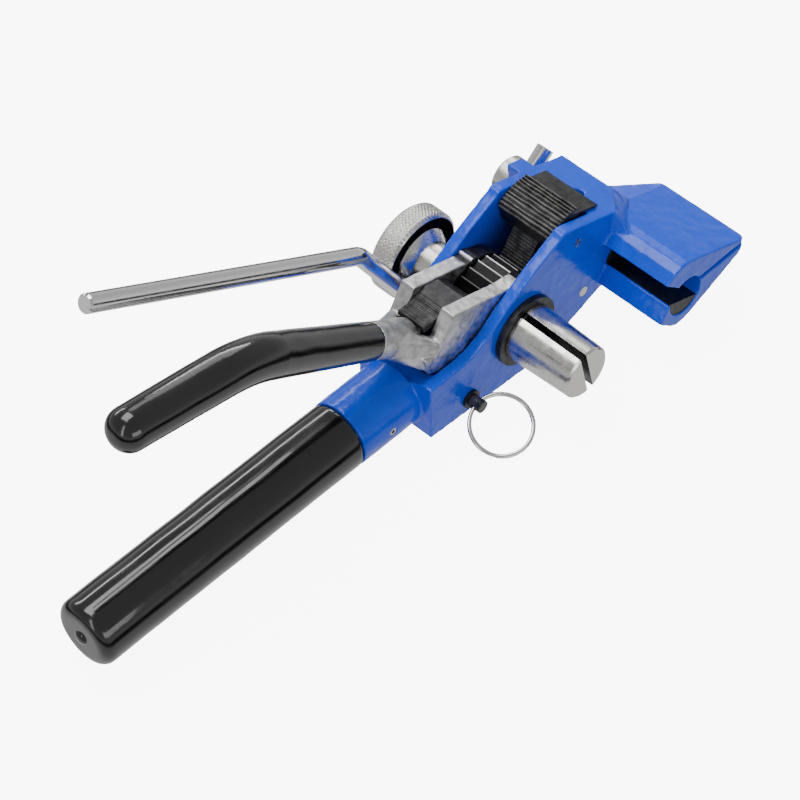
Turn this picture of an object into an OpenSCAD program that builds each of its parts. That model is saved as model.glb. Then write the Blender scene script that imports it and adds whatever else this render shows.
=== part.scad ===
// Strapping tensioner: windlass tool with ratchet lever and strap cutter.
// Units are millimetres.
// Origin: windlass axis, half way between the two cheeks.
// X runs forward to the cutter nose, Y to the knob side, Z up.

/* [Body casting] */
// half of the body's outside width
body_half = 20.5; // [18:0.5:26]
// thickness of each cheek
cheek_t = 5.5; // [4:0.5:7]
// thickness of the channel floor
floor_t = 3.5; // [2.5:0.5:5]
// outer radius of the handle socket
socket_r = 15.2; // [14:0.1:20]
// rear end of the handle socket
socket_rear_x = -87; // [-95:1:-75]
// rear face of the body
body_rear_x = -54.6; // [-60:0.2:-52]
// thickness of the rear wall
rear_wall_t = 8.1; // [6:0.1:9]
// lowest point of the lever saddle in the rear wall
saddle_z = 0.8; // [-2:0.1:2]
// rear face of the head block
head_rear_x = 44.5; // [44:0.1:46]
// fall of the deck for each millimetre forward
deck_slope = 0.34; // [0.2:0.01:0.4]

/* [Nose and cutter] */
// cutter axis forward of the windlass
cutter_x = 61.5; // [60:0.5:64]
// cutter axis height
cutter_z = -2; // [-4:0.5:0]
// radius of the cutter bore
cutter_bore_r = 9.5; // [8:0.1:10]
// running clearance of the cutter in its bore
cutter_gap = 0.05; // [0.01:0.01:0.1]
// near end of the nose
nose_end_y = -56; // [-64:1:-48]
// far edge of the upper jaw
jaw_far_y = -10.4; // [-14:0.2:-8]
// end wall of the strap slot
slot_end_y = -21; // [-24:0.5:-20.5]
// lower face of the strap slot
slot_low_z = 0.9; // [0:0.1:1]
// opening of the strap slot
slot_gap = 1.8; // [1:0.1:2]
// front of the jaws
jaw_tip_x = 101; // [96:0.5:106]
// cutter flat below the cutter axis
cutter_flat = 2.2; // [1.5:0.1:4]
// tilt of the cutter flat
cutter_tilt = -21; // [-30:1:-15]
// outer end of the cutter hub
hub_end_y = 46.5; // [44:0.5:50]
// radius of the cutter hub
hub_r = 10; // [8:0.5:11]

/* [Fixed handle] */
// axis height of the fixed handle
handle_z = -9.7; // [-12:0.1:-8]
// outer radius of the fixed grip
grip_r = 15; // [14:0.5:18]
// free end of the fixed grip
grip_end_x = -227; // [-260:1:-190]
// outer radius of the handle tube
tube_r = 12.7; // [11:0.1:13.5]
// wall of the handle tube
tube_wall = 1.5; // [1:0.1:3]

/* [Windlass] */
// near end of the windlass
wind_end_y = -56; // [-66:1:-46]
// windlass radius beside the body
wind_root_r = 13.2; // [12:0.1:14]
// windlass radius at its end
wind_tip_r = 12.2; // [11:0.1:13.5]
// width of the strap slit
slit_w = 3.2; // [2:0.1:4]
// inner end of the strap slit
slit_end_y = -25; // [-30:1:-24]
// lean of the slit from upright
slit_lean = 13; // [0:1:30]
// shaft radius through the ratchet wheel
shaft_r = 10; // [8:0.5:10.5]
// running clearance of shafts and pivots
run_gap = 0.05; // [0.01:0.01:0.1]
// tip radius of the ratchet wheel
wheel_r = 19.7; // [19:0.1:21]
// tooth depth
tooth_h = 2.5; // [2:0.1:3]
// half of the wheel's thickness
wheel_half = 6.75; // [5:0.25:7]
// radius of the hand knob
knob_r = 21; // [18:0.5:25]
// near face of the hand knob
knob_y = 37; // [36.5:0.5:40]
// thickness of the hand knob
knob_t = 11.5; // [9:0.5:15]

/* [Ratchet lever] */
// inner face of each yoke arm
yoke_in = 7.5; // [7.2:0.1:8]
// outer face of each yoke arm
yoke_out = 14.5; // [13:0.1:14.7]
// radius of the yoke eyes
yoke_eye_r = 19.5; // [17:0.5:20]
// radius of the yoke neck
neck_r = 8; // [7:0.1:8.5]
// radius of the lever grip at the neck
lever_r1 = 8.2; // [8:0.1:9]
// radius of the lever grip at its bend
lever_r2 = 9.6; // [8.5:0.1:11]
// radius of the lever grip at its end
lever_r3 = 9.25; // [8:0.05:11]
// length of the lever grip behind its bend
lever_tail = 53.5; // [40:0.5:80]
// radius of the bar inside the lever grip
bar_r = 6; // [5:0.5:6.5]

/* [Cutter lever] */
// radius of the cutter lever rod
rod_r = 4; // [3:0.1:4.2]
// lateral position of the cutter lever
rod_y = 32; // [31.8:0.1:32.5]
// length of the cutter lever's long leg
rod_leg = 161; // [120:1:200]

/* [Pull pin] */
// lock pin position along the body
plunger_x = -31.5; // [-36:0.5:-28]
// lock pin height
plunger_z = -17.5; // [-19:0.5:-15]
// radius of the lock pin
plunger_r = 2.5; // [2:0.1:3]
// outer radius of the pull ring
ring_r = 14.3; // [10:0.1:18]
// radius of the ring wire
ring_wire_r = 1; // [0.8:0.1:1.3]

/* [Hidden] */
$fn = 96;
tiny = 0.01;
cut = 1;
gap = 0.3;
// straight bars are this much thinner than their bends
seam = 0.03;
lap = 0.5;
blue = [0.02, 0.18, 0.62];
black = [0.06, 0.06, 0.065];
chrome = [0.82, 0.83, 0.85];
nickel = [0.7, 0.7, 0.72];
alloy = [0.62, 0.63, 0.64];
oxide = [0.13, 0.13, 0.14];
steel = [0.6, 0.61, 0.63];
bronze = [0.55, 0.4, 0.2];

cheek_in = body_half - cheek_t;
rear_in_x = body_rear_x + rear_wall_t;

// underside of the body, rear to front
low_rear = [body_rear_x, -23.6];
low_mid = [1.7, -27.7];
low_front = [29.4, -20.6];
low_head = [48.6, -13.3];
// deck plane through the top of the cheeks
deck_x = 29.4;
deck_z = 36.4;
deck_front_x = 68.2;
deck_near_y = -7.4;
deck_corner_x = 55;
head_overlap_x = 50;
function deck(x) = deck_z - deck_slope * (x - deck_x);

// side view of one cheek
cheek_pts = [
    low_rear, low_mid, low_front, low_head,
    [head_overlap_x, low_head[1]],
    [head_overlap_x, deck(head_overlap_x)],
    [deck_x, deck_z], [25.6, 37.6], [23.2, 37.7], [20.8, 36],
    [5.3, 28.3], [-12.4, 17.5], [-21.7, 10], [-30.6, 6.1],
    [-48.8, 5.4], [body_rear_x, 5.9]];

// side view of the head block
head_pts = [
    [head_rear_x, deck(head_rear_x)],
    [deck_front_x, deck(deck_front_x)],
    [70.5, 13], [74, 5], [77, 3.7], [77, -10.7],
    [65.7, -15.5], [61.3, -17], [52.8, -14.5],
    low_head, [head_rear_x, -14.9]];

// side view of the nose with its two jaws
jaw_ridge = [57.9, 18.4];
jaw_heel = [45.9, -8.2];
upper_lip = [49, 13];
lower_lip = [50.9, -1.1];
nose_pts = [
    upper_lip, [53.6, 17.2], jaw_ridge, [62, 18.1], [68.9, 15.9],
    [99.2, 4.1], [jaw_tip_x, 2.6], [100.8, 1.6], [98.6, -1.6],
    [65.7, -15.5], [61.3, -17], [56.5, -16.6], [52.8, -14.5],
    jaw_heel, lower_lip];

// ledge of the lower jaw beyond the upper jaw
ledge_z = 3.7;
ledge_x = 60;
ledge_pts = [
    [ledge_x, ledge_z], [99.4, ledge_z], [jaw_tip_x, 2.6],
    [100.8, 1.6], [98.6, -1.6], [65.7, -15.5], [ledge_x, -16.6]];
ledge_plan = [
    [ledge_x, -12], [102, -12], [102, -10.5], [84.3, 5.5],
    [76, 14], [70, body_half], [ledge_x, body_half]];

// saddle under the yoke, as deep as saddle_rise between the cheeks
saddle_rise = 4.7;
saddle_r = (cheek_in * cheek_in + saddle_rise * saddle_rise)
    / (2 * saddle_rise);

// ramp from the deck's cut corner down to the nose
ramp_top = [
    [deck_corner_x, -body_half, deck(deck_corner_x)],
    [deck_front_x, deck_near_y, deck(deck_front_x)]];
ramp_foot = [
    [deck_corner_x + 2, -body_half - 6.5, 18.2],
    [deck_front_x + 7.5, deck_near_y - 4, 13]];
ramp_r = 0.6;

nose_round = 5;
nose_base_x = 40;
blend_r = 9;
blend_x = 78;

// lug on the far cheek beside the deck
lug_rear_x = 41;
lug_front_x = 51;
lug_out = 27.5;
lug_h = 9;

// cutter retaining pin in the deck
keep_x = 52;
keep_y = -2.6;
keep_r = 2;
keep_top_r = 2.8;
keep_top_h = 9;
keep_low_z = -8;
groove_r = 7.2;
groove_half = 2.3;

// fixed handle
grip_front_x = -87.3;
grip_corner = 5;
grip_cap_t = 5;
tube_front_x = -55;
roll_x = -70.8;
roll_r = 1.65;
roll_bore_r = 0.9;
roll_half = 14.9;

// windlass stations along Y
flange_r = 16.5;
flange_t = 2.6;
journal_r = 12.5;
near_bush_r = 15;
far_bush_r = 13.5;
flange_y = -body_half - flange_t;
wind_shoulder_y = flange_y - gap;
wind_chamfer = 0.9;
seat_y = -yoke_out - gap;
washer_t = 0.8;
washer_y = body_half + run_gap;
washer_r = 12.5;
knob_seat_y = washer_y + washer_t;
hub_seat_y = knob_seat_y;
tail_r = 8;
knob_hub_r = 10.5;
recess_in_r = 12;
recess_out_r = 19.3;
recess_t = 8;
knob_end_y = knob_y + knob_t;
tail_end_y = knob_end_y - 2;
knurl_n = 72;
knurl_h = 0.45;
knurl_edge = 1.3;
screw_r = 2;
screw_head_r = 4;
screw_head_t = 2.6;
screw_len = 14;
hex_r = 2;
hex_t = 1.4;

teeth = 24;
tooth_a = 9;
pitch_a = 360 / teeth;
key_half = 2;
key_low = 8.2;
key_high = 11.6;

// yoke outline and pins, side view
arm_top = [-35, 31];
arm_rear = [-49.8, 7.6];
arm_low = [-45.6, 5.5];
arm_front = [-4.5, 21.7];
near_front = [5, 20.1];
arm_belly = [-26, -6.7];
arm_foot = [-17, -8];
lug_top = [[-4.45, 20.6], [2.2, 20.9]];
lug_low = [[2.2, 15], [-4.45, 15]];
lug_set = 0.1;
dowel = [-0.6, 20.3];
dowel_r = 1.4;
yoke_bush_r = 12.5;
limit_pin = [-28.9, 21.1];
pawl_pin = [-24.3, 8.5];
pin_r = 1.6;
pin_half = yoke_out - 0.2;
neck_top = [-68.3, 31.9];
bend_vertex = [-133, 75];
lever_dir = (bend_vertex - neck_top) / norm(bend_vertex - neck_top);
neck_base = neck_top - 30 * lever_dir;
neck_bore = neck_top - 13 * lever_dir;
flare_end = neck_top - 10 * lever_dir;
flare_pts = [[-42.1, 19.2], [-49.2, 8], [-45.5, 6.1], [-39, 17]];
flare_half = yoke_out - 0.4;
flare_r = neck_r - 0.3;
web_front = [[-34, -2.5], [-32.6, 4.5], [-37.2, 11.6], [-38.6, 14]];
seat_rear = [-44.6, 14];
seat_back = [-46.5, 15.3];
web_pts = concat([arm_rear, arm_low], web_front,
                 [seat_rear, seat_back, [-51.5, 16.6]]);
pocket_r = 27.4;
pocket_pts = concat([[-34, -30]], web_front,
                    [seat_rear, seat_back, [-60, 20.2],
                     [-60, 60], [20, 60], [20, -30]]);

// lever grip centre line
bend_turn = 23.6;
bend_rad = 70;
bar_start = 12;
grip_len = norm(bend_vertex - neck_top) - bend_rad * tan(bend_turn / 2);
lever_a = atan2(lever_dir[1], lever_dir[0]);
lever_end_r = 8;

// drive pawl, side view
drive_half = 7.2;
drive_hub_r = 5;
drive_travel = 14.5;
slot_room = 0.35;
drive_pts = [
    [-15.04, 13.18], [-14.96, 16.95], [-15.17, 18.14], [-16.5, 21.5],
    [-21.8, 26.3], [-24.4, 26.9], [-28.8, 28.1], [-33.5, 26.7],
    [-39, 25.8], [-44.8, 26.1], [-45.2, 24.6], [-44.8, 23.4],
    [-37.4, 22.8], [-35.2, 15], [-28.4, 7.2], [-20.4, 7.4],
    [-18.96, 11.23], [-17.2, 14.09]];
pad_grooves = 9;
pad_groove_r = 0.35;
pad_first = [-43.6, 26];
pad_step = [1.6, 0.1];

// holding pawl, side view
hold_pin = [37.8, -7.5];
hold_pin_r = 2.5;
hold_hub_r = 5.5;
stop_pin = [32.5, 26.2];
stop_pin_r = 1.9;
hold_half = 6.75;
hold_wide = 14.3;
hold_travel = 7;
hold_low_pts = [
    [14.13, 10.74], [17.25, 8.98], [18.45, 8.2], [23, 4.5],
    [34, -8], [42, -7], [39.6, 24], [24, 24],
    [19.4, 17.5], [15.99, 12.19]];
plate_end_x = 51;
plate_root_x = 39.4;
plate_lift = 0.5;
plate_t = 1.15;
hold_top_pts = [
    [22.2, 31], [24, 22], [plate_root_x, 22],
    [plate_root_x, deck(plate_root_x) + plate_lift],
    [plate_end_x, deck(plate_end_x) + plate_lift],
    [plate_end_x, deck(plate_end_x) + plate_lift + plate_t],
    [plate_root_x, deck(plate_root_x) + plate_lift + plate_t],
    [33.5, 37], [31.6, 37], [22.8, 32.9]];
ridge_n = 8;
ridge_r = 0.5;
face_grooves = 5;
face_first = [17.6, 15];
face_step = [0.98, 1.5];
ridge_first = [23.4, 33.1];
ridge_step = [1.1, 0.51];

// cutter lever bends, side view
stub_y = 36.5;
stub_low = [43, -18];
stub_len = 19.1;
rod_chamfer = 0.8;
under_front = [22, -22];
under_rear = [-6.7, -20];
leg_top = [-41.8, 37.2];
leg_a = 149.3;
rod_bend = 12;
hub_bore_y = 31;
hub_tail_r = 6;
hub_chamfer = 1.2;
clamp_r = 3;

// pull pin
housing_r = 4.3;
housing_t = 1.5;
cap_t = 1;
collar_r = 3.5;
collar_t = 1.2;
lip_t = 1;
plunger_tip_y = -cheek_in - gap;
head_r = 2.9;
head_y = -body_half - housing_t - gap;
ring_y = head_y - 2.5;
plunger_end_y = head_y - 5.6;
ring_hole_r = 1.7;
ring_tilt = 14;
ring_drop = 20;

// springs
coil_wire = 0.45;
coil_pitch = 0.82;
pawl_coil_r = 2.2;
pawl_coil_h = 8.8;
hold_coil_x = 41.2;
hold_coil_y = 4;
hold_coil_z = 14;
pocket_t = 7.5;

// extrude an XZ outline from y0 to y1
module slab(y0, y1) {
    translate([0, y1, 0])
        rotate([90, 0, 0])
            linear_extrude(y1 - y0)
                children();
}

// round bar along Y
module bar_y(p, r, y0, y1) {
    translate([p[0], y0, p[1]])
        rotate([-90, 0, 0])
            cylinder(h = y1 - y0, r = r);
}

// cone along Y
module cone_y(p, r0, r1, y0, y1) {
    translate([p[0], y0, p[1]])
        rotate([-90, 0, 0])
            cylinder(h = y1 - y0, r1 = r0, r2 = r1);
}

// round bar along X
module bar_x(z, r, x0, x1) {
    translate([x0, 0, z])
        rotate([0, 90, 0])
            cylinder(h = x1 - x0, r = r);
}

// round or tapered bar between two points of the XZ plane
module strut(p, q, r0, r1, y = 0) {
    translate([p[0], y, p[1]])
        rotate([0, atan2(q[0] - p[0], q[1] - p[1]), 0])
            cylinder(h = norm(q - p), r1 = r0, r2 = r1);
}

// round bar between two points in space
module strut3(p, q, r) {
    d = q - p;
    translate(p)
        rotate([0, acos(d[2] / norm(d)), atan2(d[1], d[0])])
            cylinder(h = norm(d), r = r);
}

// bend of a round bar in the XZ plane
module bend(c, rad, a0, turn, r, y = 0) {
    translate([c[0], y, c[1]])
        rotate([90, 0, 0])
            rotate([0, 0, a0])
                rotate_extrude(angle = turn)
                    translate([rad, 0])
                        circle(r = r);
}

// closely wound coil along Z
module coil(r, h) {
    turns = ceil((h - 2 * coil_wire) / coil_pitch);
    step = (h - 2 * coil_wire) / turns;
    rotate_extrude()
        for (i = [0 : turns])
            translate([r, coil_wire + i * step])
                circle(r = coil_wire, $fn = 24);
}

// clearance slot along an arc
module arc_slot(c, rad, a0, a1, r) {
    translate(c) {
        for (a = [a0, a1])
            rotate(a)
                translate([rad, 0])
                    circle(r = r - seam);
        intersection() {
            difference() {
                circle(r = rad + r);
                circle(r = rad - r);
            }
            polygon([
                [0, 0],
                2 * rad * [cos(a0), sin(a0)],
                2 * rad * [cos(a1), sin(a1)]]);
        }
    }
}

function polar(r, a) = [r * cos(a), r * sin(a)];

// wheel outline: steep faces look clockwise, slopes fall anticlockwise
function wheel_pts() = [
    for (k = [0 : teeth - 1], s = [0, 1])
        polar(s == 0 ? wheel_r : wheel_r - tooth_h,
              tooth_a + pitch_a * (k + s) - (s == 0 ? 0 : tiny))];

function star_pts(n, r0, r1) = [
    for (k = [0 : n - 1], s = [0, 1])
        polar(s == 0 ? r0 : r1, 360 * (k + s / 2) / n)];

module cheek(y0, y1) {
    slab(y0, y1)
        polygon(cheek_pts);
}

module floor_plate() {
    slab(-cheek_in - tiny, cheek_in + tiny)
        polygon([
            low_rear, low_mid, low_front, low_head,
            low_head + [0, floor_t], low_front + [0, floor_t],
            low_mid + [0, floor_t], low_rear + [0, floor_t]]);
}

module rear_wall() {
    slab(-body_half, body_half)
        polygon([
            low_rear, [rear_in_x, low_rear[1] - 0.5],
            [rear_in_x, 5.4], [body_rear_x, 5.9]]);
}

module head_block() {
    intersection() {
        slab(-body_half, body_half)
            polygon(head_pts);
        translate([0, 0, -body_half * 2])
            linear_extrude(body_half * 4)
                polygon([
                    [nose_base_x, -body_half],
                    [deck_corner_x, -body_half],
                    [deck_front_x, deck_near_y],
                    [90, deck_near_y], [90, body_half],
                    [nose_base_x, body_half]]);
    }
}

module nose_plan() {
    translate([nose_base_x, nose_end_y])
        square([jaw_tip_x - nose_base_x - nose_round, jaw_far_y - nose_end_y]);
    translate([nose_base_x, nose_end_y + nose_round])
        square([jaw_tip_x - nose_base_x, jaw_far_y - nose_end_y - nose_round]);
    translate([jaw_tip_x - nose_round, nose_end_y + nose_round])
        circle(r = nose_round);
}

module nose() {
    intersection() {
        slab(nose_end_y, jaw_far_y)
            polygon(nose_pts);
        translate([0, 0, -body_half * 2])
            linear_extrude(body_half * 4)
                nose_plan();
    }
    intersection() {
        slab(jaw_far_y - cut, 0)
            polygon(nose_pts);
        translate([0, 0, -body_half * 2])
            linear_extrude(body_half * 4)
                difference() {
                    translate([deck_front_x - cut, jaw_far_y])
                        square([blend_x - deck_front_x + cut, blend_r]);
                    translate([blend_x, jaw_far_y + blend_r])
                        circle(r = blend_r);
                }
    }
    intersection() {
        slab(jaw_far_y - cut, body_half)
            polygon(ledge_pts);
        translate([0, 0, -body_half * 2])
            linear_extrude(body_half * 4)
                polygon(ledge_plan);
    }
}

module nose_blend() {
    hull() {
        for (p = concat(ramp_top, ramp_foot)) {
            translate(p - [0, 0, ramp_r])
                sphere(r = ramp_r, $fn = 16);
            translate([p[0] - 4, p[1] + 4, 8])
                sphere(r = ramp_r, $fn = 16);
        }
    }
}

module lug() {
    slab(body_half - tiny, lug_out)
        polygon([
            [lug_rear_x, deck(lug_rear_x)],
            [lug_front_x, deck(lug_front_x)],
            [lug_front_x - 1, deck(lug_front_x) - lug_h],
            [lug_rear_x + 1, deck(lug_rear_x) - lug_h]]);
}

module strap_way() {
    // throat behind the cutter bore
    slab(nose_end_y - cut, -body_half)
        polygon([
            [nose_base_x, upper_lip[1] + 8], upper_lip,
            [56.75, 6.23], [cutter_x, cutter_z],
            [52.4, -0.9], lower_lip, [nose_base_x, lower_lip[1] - 1]]);
    // slot out to the front of the jaws
    slab(nose_end_y - cut, slot_end_y)
        translate([cutter_x, slot_low_z])
            square([jaw_tip_x - cutter_x + cut, slot_gap]);
}

module body_casting() {
    color(blue)
    difference() {
        union() {
            cheek(-body_half, -cheek_in);
            cheek(cheek_in, body_half);
            floor_plate();
            rear_wall();
            head_block();
            nose();
            lug();
            bar_x(handle_z, socket_r, socket_rear_x, rear_in_x);
            nose_blend();
        }
        strap_way();
        bar_x(saddle_z + saddle_r, saddle_r, body_rear_x, rear_in_x + cut);
        bar_y([cutter_x, cutter_z], cutter_bore_r,
              nose_end_y - cut, body_half + cut);
        bar_x(handle_z, tube_r, socket_rear_x - cut, tube_front_x);
        bar_y([roll_x, handle_z], roll_r, -socket_r - cut, socket_r + cut);
        bar_y([0, 0], near_bush_r, -body_half - cut, -cheek_in + cut);
        bar_y([0, 0], far_bush_r, cheek_in - cut, body_half + cut);
        bar_y(hold_pin, hold_pin_r, -body_half - cut, body_half + cut);
        bar_y(stop_pin, stop_pin_r, -body_half - cut, body_half + cut);
        bar_y([plunger_x, plunger_z], collar_r + run_gap,
              -body_half - cut, -cheek_in - lip_t);
        bar_y([plunger_x, plunger_z], plunger_r + run_gap,
              -body_half - cut, -cheek_in + cut);
        translate([0, hold_coil_y, 0])
            bar_x(hold_coil_z, pawl_coil_r + coil_wire,
                  head_rear_x - cut, head_rear_x + pocket_t);
        translate([keep_x, keep_y, keep_low_z])
            cylinder(h = body_half * 2, r = keep_r);
        translate([keep_x, keep_y, deck(keep_x) - keep_top_h])
            cylinder(h = keep_top_h * 2, r = keep_top_r);
    }
}

module handle_tube() {
    color(chrome)
    difference() {
        bar_x(handle_z, tube_r, grip_end_x + grip_cap_t, tube_front_x);
        bar_x(handle_z, tube_r - tube_wall,
              grip_end_x + grip_cap_t - cut, tube_front_x + cut);
        bar_y([roll_x, handle_z], roll_r, -socket_r, socket_r);
    }
}

module handle_grip() {
    len = grip_front_x - grip_end_x;
    color(black)
    translate([grip_end_x, 0, handle_z])
        rotate([0, 90, 0])
            difference() {
                rotate_extrude()
                    union() {
                        translate([0, grip_corner])
                            square([grip_r, len - grip_corner]);
                        square([grip_r - grip_corner, grip_corner + cut]);
                        intersection() {
                            translate([grip_r - grip_corner, grip_corner])
                                circle(r = grip_corner);
                            square([grip_r, len]);
                        }
                    }
                translate([0, 0, grip_cap_t])
                    cylinder(h = len, r = tube_r);
            }
}

module handle_roll_pin() {
    color(steel)
    difference() {
        bar_y([roll_x, handle_z], roll_r, -roll_half, roll_half);
        bar_y([roll_x, handle_z], roll_bore_r, -socket_r, socket_r);
    }
}

module windlass_bush_near() {
    color(oxide)
    difference() {
        union() {
            bar_y([0, 0], near_bush_r, -body_half - tiny, -cheek_in);
            bar_y([0, 0], flange_r, flange_y, -body_half);
        }
        bar_y([0, 0], journal_r + run_gap, flange_y - cut, 0);
    }
}

module windlass_bush_far() {
    color(bronze)
    difference() {
        bar_y([0, 0], far_bush_r, cheek_in, body_half);
        bar_y([0, 0], shaft_r + run_gap, 0, body_half + cut);
    }
}

module holding_pawl_pin() {
    color(steel)
    bar_y(hold_pin, hold_pin_r, -body_half, body_half);
}

module pawl_stop_pin() {
    color(steel)
    bar_y(stop_pin, stop_pin_r, -body_half, body_half);
}

module cutter_retaining_pin() {
    color(steel)
    union() {
        translate([keep_x, keep_y, keep_low_z])
            cylinder(h = deck(keep_x) - keep_top_h - keep_low_z + tiny,
                     r = keep_r);
        translate([keep_x, keep_y, deck(keep_x) - keep_top_h])
            difference() {
                cylinder(h = hex_t * 2, r = keep_top_r);
                translate([0, 0, hex_t])
                    cylinder(h = hex_t * 2, r = hex_r * 0.75, $fn = 6);
            }
    }
}

module holding_pawl_spring() {
    color(steel)
    translate([hold_coil_x, hold_coil_y, hold_coil_z])
        rotate([0, 90, 0])
            coil(pawl_coil_r, head_rear_x + pocket_t - hold_coil_x);
}

module plunger_housing() {
    color(oxide)
    difference() {
        bar_y([plunger_x, plunger_z], housing_r,
              -body_half - housing_t, -body_half);
        bar_y([plunger_x, plunger_z], collar_r + run_gap,
              -body_half - housing_t + cap_t, 0);
        bar_y([plunger_x, plunger_z], plunger_r + run_gap,
              -body_half - housing_t - cut, 0);
    }
}

module plunger_spring() {
    y0 = -body_half - housing_t + cap_t;
    y1 = plunger_tip_y - lip_t - collar_t;
    color(steel)
    translate([plunger_x, y0, plunger_z])
        rotate([-90, 0, 0])
            coil((plunger_r + collar_r) / 2, y1 - y0);
}

module windlass_shaft() {
    color(nickel)
    difference() {
        union() {
            cone_y([0, 0], wind_tip_r - wind_chamfer, wind_tip_r,
                   wind_end_y, wind_end_y + wind_chamfer);
            cone_y([0, 0], wind_tip_r, wind_root_r,
                   wind_end_y + wind_chamfer, wind_shoulder_y);
            bar_y([0, 0], journal_r, wind_shoulder_y, seat_y);
            bar_y([0, 0], shaft_r, seat_y, knob_seat_y);
            bar_y([0, 0], tail_r, knob_seat_y, tail_end_y);
        }
        rotate([0, -slit_lean, 0])
            translate([-slit_w / 2, wind_end_y - cut, -wind_root_r * 2])
                cube([slit_w, slit_end_y - wind_end_y + cut,
                      wind_root_r * 4]);
        translate([-key_half, -wheel_half, key_low])
            cube([key_half * 2, wheel_half * 2, key_high]);
        bar_y([0, 0], screw_r, tail_end_y - screw_len, tail_end_y + cut);
    }
}

module ratchet_wheel() {
    color(oxide)
    difference() {
        slab(-wheel_half, wheel_half)
            polygon(wheel_pts());
        bar_y([0, 0], shaft_r, -wheel_half - cut, wheel_half + cut);
        translate([-key_half, -wheel_half - cut, 0])
            cube([key_half * 2, (wheel_half + cut) * 2, key_high]);
    }
}

module wheel_key() {
    color(steel)
    translate([-key_half, -wheel_half, key_low])
        cube([key_half * 2, wheel_half * 2, key_high - key_low]);
}

module thrust_washer() {
    color(bronze)
    difference() {
        bar_y([0, 0], washer_r, washer_y, knob_seat_y);
        bar_y([0, 0], shaft_r, 0, knob_seat_y + cut);
    }
}

module knob() {
    color(nickel)
    difference() {
        union() {
            bar_y([0, 0], knob_hub_r, knob_seat_y, knob_end_y);
            cone_y([0, 0], knob_r - knurl_edge, knob_r - knurl_h,
                   knob_y, knob_y + knurl_edge);
            slab(knob_y + knurl_edge, knob_end_y - knurl_edge)
                polygon(star_pts(knurl_n, knob_r, knob_r - knurl_h));
            cone_y([0, 0], knob_r - knurl_h, knob_r - knurl_edge,
                   knob_end_y - knurl_edge, knob_end_y);
        }
        difference() {
            bar_y([0, 0], recess_out_r, knob_y - cut, knob_y + recess_t);
            bar_y([0, 0], knob_hub_r, 0, knob_end_y);
        }
        bar_y([0, 0], tail_r, 0, tail_end_y);
        bar_y([0, 0], screw_head_r, tail_end_y - tiny, knob_end_y + cut);
    }
}

module knob_screw() {
    color(steel)
    difference() {
        union() {
            bar_y([0, 0], screw_r, tail_end_y - screw_len, tail_end_y);
            bar_y([0, 0], screw_head_r, tail_end_y,
                  tail_end_y + screw_head_t);
        }
        slab(tail_end_y + screw_head_t - hex_t, knob_end_y + cut * 2)
            circle(r = hex_r, $fn = 6);
    }
}

// the near arm runs on over the top of its eye
module yoke_arm(y0, y1, front) {
    slab(y0, y1)
        difference() {
            polygon([
                front, arm_front, arm_top, arm_rear, arm_low,
                arm_belly, arm_foot, [0, 0], [front[0], 0]]);
            circle(r = yoke_eye_r);
        }
}

module ratchet_yoke() {
    color(alloy)
    difference() {
        union() {
            yoke_arm(-yoke_out, -yoke_in, near_front);
            yoke_arm(yoke_in, yoke_out, arm_front - [0, 1]);
            slab(-yoke_out, yoke_out)
                polygon(web_pts);
            strut(neck_base, neck_top, neck_r, neck_r);
            hull() {
                slab(-flare_half, flare_half)
                    polygon(flare_pts);
                strut(flare_end - lever_dir, flare_end,
                      flare_r, flare_r, $fn = 32);
            }
        }
        slab(-yoke_in, yoke_in)
            intersection() {
                translate(pawl_pin)
                    circle(r = pocket_r);
                polygon(pocket_pts);
            }
        bar_y(limit_pin, pin_r, -body_half, body_half);
        bar_y(pawl_pin, pin_r, -body_half, body_half);
        strut(neck_bore, 2 * neck_top - neck_bore, bar_r, bar_r);
    }
}

// hardened eye that carries one arm on the shaft
module yoke_eye_near() {
    color(oxide)
    difference() {
        bar_y([0, 0], yoke_eye_r, -yoke_out, -yoke_in);
        bar_y([0, 0], yoke_bush_r, -yoke_out - cut, -yoke_in + cut);
    }
}

// the far eye has a lug for a dowel
module yoke_eye_far() {
    color(oxide)
    difference() {
        union() {
            bar_y([0, 0], yoke_eye_r, yoke_in, yoke_out);
            slab(yoke_in + lug_set, yoke_out - lug_set)
                polygon(concat(lug_top, lug_low));
        }
        bar_y([0, 0], yoke_bush_r, yoke_in - cut, yoke_out + cut);
        bar_y(dowel, dowel_r, yoke_in - cut, yoke_out + cut);
    }
}

module eye_dowel() {
    color(steel)
    bar_y(dowel, dowel_r, yoke_in, yoke_out);
}

module yoke_bush(y0, y1) {
    color(bronze)
    difference() {
        bar_y([0, 0], yoke_bush_r, y0, y1);
        bar_y([0, 0], shaft_r + run_gap, y0 - cut, y1 + cut);
    }
}

module yoke_bush_near() {
    yoke_bush(-yoke_out, -yoke_in);
}

module yoke_bush_far() {
    yoke_bush(yoke_in, yoke_out);
}

module drive_pawl_pin() {
    color(steel)
    bar_y(pawl_pin, pin_r, -pin_half, pin_half);
}

module pawl_limit_pin() {
    color(steel)
    bar_y(limit_pin, pin_r, -pin_half, pin_half);
}

module drive_pawl_spring() {
    color(steel)
    translate([(seat_rear[0] + web_front[3][0]) / 2, 0, seat_rear[1]])
        coil(pawl_coil_r, pawl_coil_h);
}

// lever path: straight from the neck, one bend, straight tail
bend_start = neck_top + grip_len * lever_dir;
bend_c = bend_start + bend_rad * polar(1, lever_a + 90);
tail_a = lever_a + bend_turn;
tail_start = bend_c + bend_rad * polar(1, tail_a - 90);
tail_end = tail_start + lever_tail * polar(1, tail_a);
bar_end = tail_start + (lever_tail - lever_end_r) * polar(1, tail_a);

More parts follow.
